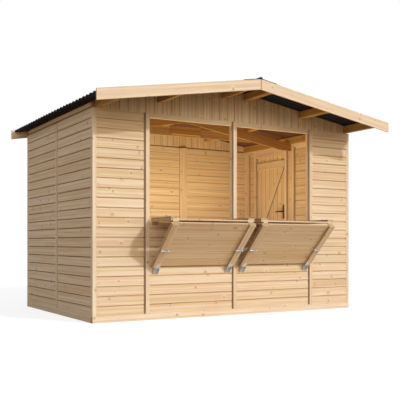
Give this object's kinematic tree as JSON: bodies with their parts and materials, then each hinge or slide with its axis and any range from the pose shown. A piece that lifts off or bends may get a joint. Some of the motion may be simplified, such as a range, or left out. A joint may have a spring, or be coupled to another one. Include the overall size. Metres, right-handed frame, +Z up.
{
  "type": "wooden market stall",
  "caption": "Boarded wooden hut with a low corrugated gable roof, folding serving hatches along its front and a braced side door.",
  "frame": {"origin": "on the ground under the middle of the roof's plan", "axes": "+Z up, front towards -Y, +X along the front to the right, across the ridge"},
  "size_m": [3.344, 2.58, 2.3037],
  "materials": {
    "spruce_boards": "sawn spruce boards",
    "spruce_frame": "planed spruce framing",
    "bitumen_sheet": "black-brown corrugated bitumen sheet",
    "zinc_steel": "zinc plated steel",
    "dark_iron": "dark painted steel"
  },
  "bodies": {
    "hut": {"long_base_rails": "spruce_frame", "short_base_rails": "spruce_frame", "front_wall_boards": "spruce_boards", "front_cover_strips": "spruce_frame", "front_posts": "spruce_frame", "front_studs": "spruce_frame", "opening_headers": "spruce_frame", "opening_sills": "spruce_frame", "back_wall_boards": "spruce_boards", "back_cover_strips": "spruce_frame", "back_posts": "spruce_frame", "left_wall_boards": "spruce_boards", "left_posts": "spruce_frame", "right_wall_boards": "spruce_boards", "door_side_boards": "spruce_boards", "over_door_boards": "spruce_boards", "right_posts": "spruce_frame", "side_top_plates": "spruce_frame", "door_lintel": "spruce_frame", "side_cover_strips": "spruce_frame", "front_gable": "spruce_boards", "back_gable": "spruce_boards", "purlins": "spruce_frame", "truss_rafters": "spruce_frame", "truss_collar": "spruce_frame", "truss_cleat": "spruce_frame", "right_bargeboards": "spruce_frame", "left_bargeboards": "spruce_frame", "right_roof_sheet": "bitumen_sheet", "left_roof_sheet": "bitumen_sheet", "ridge_cap": "bitumen_sheet", "sill_hinges": "zinc_steel", "rest_brackets": "zinc_steel", "door_frame_hinges": "zinc_steel"},
    "door": {"door_leaf": "spruce_boards", "door_ledges": "spruce_frame", "door_braces": "spruce_frame", "door_leaf_hinges": "zinc_steel", "door_handles": "dark_iron"},
    "left_counter": {"left_counter_boards": "spruce_boards", "left_counter_rails": "spruce_frame", "left_counter_hinges": "zinc_steel"},
    "left_flap": {"left_flap_boards": "spruce_boards", "left_flap_rails": "spruce_frame", "left_flap_hinges": "zinc_steel", "left_flap_fittings": "zinc_steel"},
    "right_counter": {"right_counter_boards": "spruce_boards", "right_counter_rails": "spruce_frame", "right_counter_hinges": "zinc_steel"},
    "right_flap": {"right_flap_boards": "spruce_boards", "right_flap_rails": "spruce_frame", "right_flap_hinges": "zinc_steel", "right_flap_fittings": "zinc_steel"}
  },
  "joints": [
    {"name": "door_swing", "type": "hinge", "parent": "hut", "child": "door", "pos_m": [1.5305, 0.911, 0.96], "axis": [0, 0, 1], "range_deg": [0, 110]},
    {"name": "left_counter_lift", "type": "hinge", "parent": "hut", "child": "left_counter", "pos_m": [-0.494, -0.8355, 0.9205], "axis": [-1, 0, 0], "range_deg": [0, 90]},
    {"name": "left_flap_fold", "type": "hinge", "parent": "left_counter", "child": "left_flap", "pos_m": [-0.494, -1.2455, 0.9205], "axis": [-1, 0, 0], "range_deg": [0, 135]},
    {"name": "right_counter_lift", "type": "hinge", "parent": "hut", "child": "right_counter", "pos_m": [0.486, -0.8355, 0.9205], "axis": [-1, 0, 0], "range_deg": [0, 90]},
    {"name": "right_flap_fold", "type": "hinge", "parent": "right_counter", "child": "right_flap", "pos_m": [0.486, -1.2455, 0.9205], "axis": [-1, 0, 0], "range_deg": [0, 135]}
  ]
}
